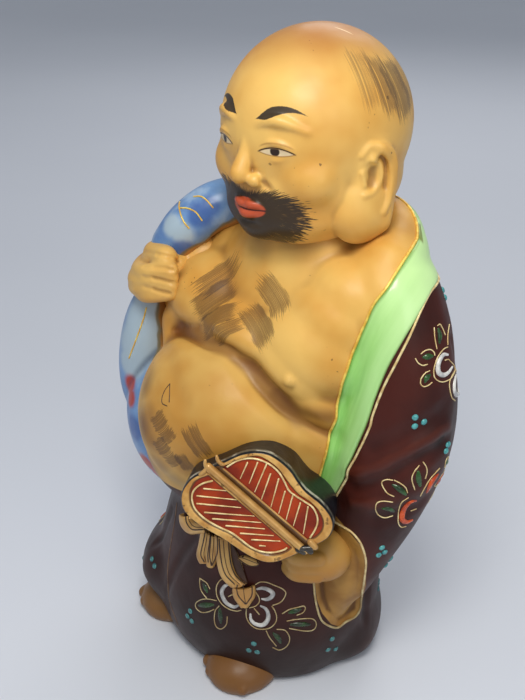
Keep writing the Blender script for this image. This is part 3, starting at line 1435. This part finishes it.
bpy.ops.mesh.primitive_uv_sphere_add(segments=18, ring_count=12, radius=dotSize, location=(0, 0, 0))
dotMaster = bpy.context.object
copies = []
for place, normal in dots:
    copy = dotMaster.copy()
    copy.data = dotMaster.data.copy()
    bpy.context.collection.objects.link(copy)
    turn = normal.to_track_quat("Z", "Y").to_matrix().to_4x4()
    copy.data.transform(Matrix.Translation(place) @ turn @ Matrix.Diagonal((1, 1, dotFlatness, 1)))
    copies.append(copy)
pickOnly(dotMaster)
bpy.ops.object.delete()
finishPiece(joined("turquoiseDots", copies), turquoiseEnamel)
report("enamel is trailed")

sash = {  # pairs of edges in zoomed picture places, and how thick each ribbon is
    "origin": (165, 430),
    "scale": 7.467,
    "ribbons": [
        (
            [(300, 740), (280, 840), (262, 930), (290, 985)],
            [(345, 760), (335, 850), (325, 920), (325, 985)], 0.0012,
        ),
        (
            [(340, 760), (333, 850), (327, 930), (345, 1010)],
            [(395, 790), (398, 870), (392, 930), (352, 1012)], 0.0012,
        ),
        (
            [(395, 770), (408, 940), (440, 1070), (510, 1150)],
            [(480, 800), (492, 960), (530, 1080), (610, 1152)], 0.0018,
        ),
        (
            [(530, 1160), (525, 1190), (540, 1240), (598, 1298)],
            [(655, 1152), (662, 1190), (655, 1240), (608, 1298)], 0.0022,
        ),
        (
            [(540, 940), (600, 930), (660, 950), (712, 985)],
            [(545, 960), (590, 1000), (640, 1022), (692, 1018)], 0.0012,
        ),
        (
            [(150, 620), (155, 690), (195, 745), (262, 748), (330, 735)],
            [(200, 640), (215, 670), (245, 690), (280, 700), (330, 700)], 0.0022,
        ),
    ],
    "recess": (
        [(485, 830), (500, 950), (540, 1060), (605, 1150)],
        [(490, 830), (545, 930), (580, 1030), (612, 1145)],
    ),
}


def onSash(edge):
    return zoomed(edge, sash["origin"], sash["scale"])


ribbons = []
for k, (left, right, height) in enumerate(sash["ribbons"]):
    sides = [onSkin(trunkTree, onSash(edge)) for edge in (left, right)]
    ribbons.append(layStrip(f"ribbon{k}", trunkTree, *sides, 40, 12, height, 0.3, 0.0014))
ribbonGold = plainPaint(
    "ribbonGold", (214, 170, 100), (184, 134, 70), 0.32, metal=0.25, scale=90, bump=0.3, coat=0.1
)
sashRibbons = joined("sashRibbons", ribbons)
finishPiece(sashRibbons, ribbonGold, 60)
picturedSash = fromPicture(skinTree(sashRibbons))
for left, right, _ in sash["ribbons"]:
    left, right = np.array(left, float), np.array(right, float)
    for share, thick in ((0.08, 0.3), (0.45, 0.16), (0.92, 0.3)):
        line = onSash(left * (1 - share) + right * share)
        inkStrands.append(trailed(picturedSash, line, thick, -0.3))
sides = [onSkin(trunkTree, onSash(edge)) for edge in sash["recess"]]
recess = layStrip("sashShadow", trunkTree, *sides, 30, 8, 0.0003, 0.3, 0.001)
finishPiece(recess, plainPaint("sashBrown", (84, 52, 30), (58, 34, 22), 0.45, scale=120))
for edge in (
    [(490, 830), (545, 930), (580, 1030), (612, 1145)],
    [(408, 800), (408, 940), (440, 1070), (510, 1150)],
):
    creamStrands.append(trailed(picturedTrunk, onSash(edge), 0.2, 0.5))
report("sash is tied")

fan = {
    "length": 0.048,
    "width": 0.040,
    "thickness": 0.0200,
    "facing": 44,
    "rise": 12,
    "roll": -43,
    "centre": (37, -37, 97),
    "edge": [  # shares of the length and width
        (-0.38, 0.08), (-0.40, -0.03), (-0.425, -0.13), (-0.42, -0.23), (-0.395, -0.32), (-0.345, -0.39),
        (-0.28, -0.432), (-0.20, -0.44), (-0.12, -0.43), (-0.04, -0.405), (0.06, -0.37), (0.16, -0.345),
        (0.265, -0.32), (0.355, -0.285), (0.43, -0.23), (0.48, -0.145), (0.51, -0.045), (0.53, 0.05),
        (0.55, 0.16), (0.577, 0.27), (0.583, 0.365), (0.55, 0.455), (0.495, 0.507), (0.42, 0.532),
        (0.337, 0.537), (0.265, 0.527), (0.194, 0.522), (0.112, 0.537), (0.03, 0.558), (-0.06, 0.558),
        (-0.15, 0.537), (-0.216, 0.493), (-0.273, 0.422), (-0.316, 0.332), (-0.343, 0.232),
        (-0.363, 0.144),
    ],
    "scale": 0.978,  # the traced drawing was a little larger
    "fields": [  # millimetres in the fan's own plane
        [
            (-17.3, -0.8), (-18.8, -5.2), (-18.1, -8.9), (-16.0, -11.8), (-13.1, -13.9), (-9.2, -14.7),
            (-4.5, -14.2), (-0.3, -12.7), (3.5, -11.2), (7.5, -10.7), (11.6, -10.1), (15.4, -8.8),
            (18.8, -6.9), (21.1, -4.0), (22.3, -0.6), (22.4, 1.6),
        ],
        [
            (-16.4, 5.3), (-15.1, 8.0), (-14.4, 10.7), (-12.6, 14.6), (-10.3, 17.9), (-6.1, 19.3),
            (-1.9, 19.6), (2.1, 18.9), (6.2, 18.3), (9.6, 18.2), (13.8, 19.1), (18.4, 19.1),
            (22.7, 17.4), (24.8, 14.5), (25.1, 10.8), (23.9, 8.1),
        ],
    ],
    "lines": [
        [
            (-15.0, -1.2), (-16.6, -4.6), (-17.0, -8.3), (-15.6, -11.3), (-12.3, -13.6), (-8.6, -14.1),
            (-4.6, -13.6), (-0.1, -12.2), (4.0, -10.6), (8.0, -10.0), (12.1, -9.5), (15.5, -8.3),
            (18.2, -6.3), (20.2, -3.7), (21.4, -0.9), (21.5, 0.2),
        ],
        [
            (-15.1, 6.8), (-14.4, 10.7), (-12.5, 14.4), (-9.5, 17.1), (-5.5, 18.7), (-1.3, 19.0),
            (2.5, 18.0), (6.0, 16.8), (9.1, 17.1), (12.8, 17.9), (16.2, 18.5), (19.4, 17.5),
            (21.7, 15.6), (23.2, 12.7), (24.1, 9.6),
        ],
    ],
    "bars": [
        ((-14.9, -5.7), (-8.9, -0.2)), ((-14.6, -9.6), (-4.0, 0)), ((-12.5, -11.8), (-0.8, -1.0)),
        ((-8.2, -12.2), (4.8, 0.3)), ((-4.5, -11.8), (8.2, 0.3)), ((0.7, -10.1), (10.8, -0.5)),
        ((6.3, -8.3), (14.8, 0)), ((10.8, -7.0), (18.0, 0.3)), ((14.4, -6.5), (15.9, -5.1)),
        ((-11.3, 13.2), (-8.8, 7.0)), ((-8.9, 15.9), (-5.3, 8.0)), ((-6.3, 17.8), (-1.7, 7.2)),
        ((-2.8, 16.3), (1.9, 7.0)), ((0.5, 17.1), (6.3, 7.4)), ((5.4, 15.4), (9.9, 7.8)),
        ((8.4, 16.3), (13.5, 7.9)), ((12.2, 16.3), (16.9, 8.2)), ((15.1, 17.3), (21.5, 8.7)),
    ],
    "spine": ((-19.7, 1.9), (26.4, 4.6)),
}

facing, rise = math.radians(fan["facing"]), math.radians(fan["rise"])
faceWay = Vector((math.sin(facing) * math.cos(rise), -math.cos(facing) * math.cos(rise), math.sin(rise)))
level = Vector((math.cos(facing), math.sin(facing), 0))
basis = Matrix((level, faceWay.cross(level), faceWay)).transposed().to_4x4()
fanPlace = Matrix.Rotation(math.radians(fan["roll"]), 4, faceWay) @ basis
fanPlace = Matrix.Translation(at(*fan["centre"])) @ fanPlace


def fanSpots(spots, high=0.0):
    # millimetres in the fan's plane, each place with a height of its own or all with the same
    size = fan["scale"] / 1000
    return [(u * size, v * size, (own[0] if own else high) / 1000) for u, v, *own in spots]


outline = [(u * fan["length"], v * fan["width"]) for u, v in [*fan["edge"], fan["edge"][0]]]
outline = smoothPath(outline, 181)[:-1]
bpy.ops.mesh.primitive_circle_add(vertices=180, radius=0.02, fill_type="NGON", location=(0, 0, 0))
fanBody = bpy.context.object
fanBody.name = "fanBody"
for vertex, spot in zip(fanBody.data.vertices, outline):
    vertex.co = (*spot, 0)
bpy.ops.object.mode_set(mode="EDIT")
bpy.ops.mesh.select_all(action="SELECT")
bpy.ops.mesh.extrude_region_move(TRANSFORM_OT_translate={"value": (0, 0, -fan["thickness"])})
bpy.ops.mesh.select_all(action="SELECT")
bpy.ops.mesh.normals_make_consistent(inside=False)
bpy.ops.object.mode_set(mode="OBJECT")
dense = fanBody.modifiers.new("dense", "REMESH")
dense.voxel_size = 0.00036
soften = fanBody.modifiers.new("soften", "SMOOTH")
soften.iterations = 8
applyAll(fanBody)

found = places(fanBody)
spots = found[:, :2]
flatSpots = np.hstack([spots, np.zeros((len(spots), 1))])
fields = [smoothPath(np.array(f) * fan["scale"] / 1000, 60) for f in fan["fields"]]
inside = np.maximum(*[insidePolygon(spots, f) for f in fields]) * 1000
drawnIn = insidePolygon(spots, outline) * 1000
top = found[:, 2] > -0.0012
start, end = np.array(fanSpots(fan["spine"]))
spineAway = distanceTo(flatSpots, np.array([start, end])) * 1000
spineSide = np.sign((spots - start[:2]) @ np.array([-(end - start)[1], (end - start)[0]]))
rimTop = eased(-inside / 0.5) * eased(drawnIn / 0.7) * eased(spineAway - 1.5)
ragged = 0.05 * np.sin(spots[:, 0] * 2100) * np.sin(spots[:, 1] * 1700 + 1)
found[:, 2] += np.where(top, (0.75 * rimTop + ragged * rimTop - 0.15) / 1000, 0)
setPlaces(fanBody, found)
storeValue(fanBody, "field", inside)
storeValue(fanBody, "rim", np.where(top, drawnIn, -5 + (found[:, 2] * 1000 + 1.2) * 0.2))
storeValue(fanBody, "spineSide", spineSide * spineAway)
storeValue(fanBody, "depth", found[:, 2] * 1000)

fanPaint, shader, where = newPaint("fanPaint")
field, rim, depth, side = (value(n) for n in ("field", "rim", "depth", "spineSide"))
gold = mottled(where, 160, 4, 0.35, 0.65, srgb(226, 180, 104), srgb(186, 132, 64))
chipped = step(grain(where, 420, 3), 0.6, 0.68) * 0.7
gold = over(chipped, gold, srgb(84, 54, 28))
red = mottled(where, 90, 4, 0.3, 0.7, srgb(176, 60, 14), srgb(122, 34, 8))
ink = mottled(where, 150, 4, 0.4, 0.7, srgb(14, 18, 24), srgb(32, 37, 44))
silver = mottled(where, 220, 4, 0.42, 0.62, srgb(96, 94, 84), srgb(206, 202, 186))
tone = over(step(field, -0.12, 0.12), gold, red)
groove = step(abs(field + 0.1), 0.45, 0.15)
tone = over(groove * 0.75, tone, srgb(66, 34, 20))
middle = step(field, -0.1, -0.4) * step(abs(side - 1.6), 3.0, 2.6)
tone = over(middle * 0.9, tone, srgb(70, 42, 26))
front = step(rim, 0.7, 0.45)
tone = over(front, tone, ink)
silverBand = step(depth, -2.6, -1.8) * step(depth, -0.3, -0.7)
tone = over(silverBand * front * 0.85, tone, silver)
setInputs(shader, {
    "Base Color": tone,
    "Roughness": front * 0.04 + 0.3,
    "Specular IOR Level": 0.35,
    "Normal": bumps(grain(where, 500, 3), 0.3, 0.0003),
})
fanBody.data.transform(fanPlace)
finishPiece(fanBody, fanPaint)

fanGold, fanCream = [], []
for line in fan["lines"]:
    path = smoothPath(fanSpots(line, 0.15), 90)
    fanCream.append(roundEnds(path, [0.00034] * len(path)))
for a, b in fan["bars"]:
    path = smoothPath(fanSpots([a, b], 0.05), 12)
    fanCream.append(roundEnds(path, np.linspace(0.0003, 0.00016, 12)))
path = smoothPath(fanSpots(fan["spine"], 0.5), 60)
fanGold.append(roundEnds(path, [0.0014] * 60))
band = smoothPath(fanSpots([(-15.5, 5.2), (0, 6.3), (23.8, 8.0)], 0.2), 60)
fanGold.append(roundEnds(band, [0.00035] * 60))


def onFan(spot, high):
    # a picture pixel brought onto a plane level with the fan's face
    turned = fanPlace.inverted()
    start, way = turned @ eyePlace, turned.to_3x3() @ sightLine(spot)
    return start + way * ((high * 0.001 - start.z) / way.z)


clipLoops = [  # zoomed picture places round the fan's tip
    [(300, 228), (302, 262), (322, 300), (352, 322)],
    [(386, 196), (396, 228), (420, 252), (436, 258)],
    [(262, 330), (290, 312), (305, 290)],
]
for spots in clipLoops:
    path = [onFan(spot, 0.9) for spot in onSash(spots)]
    path = smoothPath([tuple(p) for p in path], 16)
    fanGold.append(roundEnds(path, [0.00055 + 0.0002 * math.sin(k / 5) for k in range(16)]))
nub = smoothPath(fanSpots([(25.5, 8.6), (27.6, 8.4)], 0.6), 8)
fanGold.append(roundEnds(nub, [0.0013] * 8))
for name, strands, paint in (("fanSpine", fanGold, ribbonGold), ("fanLines", fanCream, paleGoldPaint)):
    piece = addStrands(name, strands, 4)
    piece.data.transform(fanPlace)
    finishPiece(piece, paint)
knotParts = [
    [(24.4, 3.2, 0.6), (26.4, 4.2, 1.0)], [(26.0, 5.6, 0.8), (28.0, 6.0, 0.6)],
    [(25.0, 4.8, 1.2), (27.0, 7.2, 0.9)],
]
knotStrands = []
for spots in knotParts:
    knotStrands.append(roundEnds(smoothPath(fanSpots(spots), 8), [0.0011] * 8))
knot = addStrands("fanKnot", knotStrands, 4)
knot.data.transform(fanPlace)
finishPiece(knot, plainPaint("knotBlack", (38, 34, 32), (70, 66, 60), 0.25, metal=0.2, scale=400))
report("fan is made")

sackLines = [
    [(194.1, 196.6), (201, 196.6), (206.9, 200.6), (212.9, 207.5)],
    [(179.8, 202.1), (179.3, 207.5), (181.2, 215.4), (184.2, 222.3), (189.1, 228.3)],
    [(180.2, 208), (188.2, 208.5), (196.1, 212.5), (202, 220.4)],
    [(146.4, 307.9), (143.2, 320), (136, 340), (129.2, 358)],
]
for spots in sackLines:
    goldStrands.append(trailed(picturedSack, spots, 0.3, 0.4))
for azimuth, height, spots in (
    (262, 104, [(-20, 8), (-8, 12), (8, 4), (18, 10)]),
    (270, 130, [(-14, 20), (-8, 0), (-12, -26), (-6, -60)]),
    (240, 120, [(-10, 26), (2, 4), (-4, -24), (6, -54)]),
    (220, 110, [(-18, 10), (0, 4), (18, 12)]),
):
    goldStrands.append(trailed(fromSide(sackTree, azimuth, height), spots, 0.3, 0.4, 50))

for name, strands, paint in (
    ("goldLines", goldStrands, goldPaint),
    ("creamLines", creamStrands, paleGoldPaint),
    ("whitePetals", whiteStrands, whiteEnamel),
    ("orangePetals", orangeStrands, orangeEnamel),
    ("leaves", leafStrands, leafEnamel),
    ("seamLines", seamStrands, seamPaint),
    ("inkLines", inkStrands, inkPaint),
):
    finishPiece(addStrands(name, strands, 3 if "Lines" in name else 5), paint)
report("lines are laid")

bpy.ops.mesh.primitive_plane_add(size=6, location=(0, 0, 0))
floor = bpy.context.object
floor.name = "floor"
floorPaint, shader, where = newPaint("floorPaint")
floorTone = over(grain(where, 3, 3), srgb(215, 219, 229), srgb(223, 227, 236))
setInputs(shader, {"Base Color": floorTone, "Roughness": 0.6})
floor.data.materials.append(floorPaint)

bpy.context.scene.view_settings.view_transform = "Standard"
world = bpy.data.worlds.new("studio")
bpy.context.scene.world = world
world.use_nodes = True
setInputs(world.node_tree.nodes["Background"], {"Color": (0.88, 0.93, 1.0, 1), "Strength": 0.34})

lamps = [  # name, place, size, watts, colour
    ("keyLight", (0.17, -0.16, 0.49), 0.16, 1.2, (1.0, 0.975, 0.91)),
    ("sideLight", (0.80, -0.15, 0.50), 0.50, 1.15, (1.0, 0.98, 0.95)),
    ("fillLight", (-0.35, -1.0, 0.7), 0.80, 0.8, (0.95, 0.97, 1.0)),
    ("backLight", (-0.6, 0.8, 0.9), 0.70, 3.3, (1.0, 0.98, 0.95)),
    ("topLight", (0, 0, 2.2), 1.6, 3.2, (0.93, 0.96, 1.0)),
]
for name, place, size, watts, colour in lamps:
    bpy.ops.object.light_add(type="AREA", location=place)
    lamp = bpy.context.object
    lamp.name = name
    lamp.rotation_euler = (Vector((0, 0, 0.13)) - Vector(place)).to_track_quat("-Z", "Y").to_euler()
    lamp.data.size = size
    lamp.data.energy = watts
    lamp.data.color = colour

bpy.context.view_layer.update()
report("scene is ready")
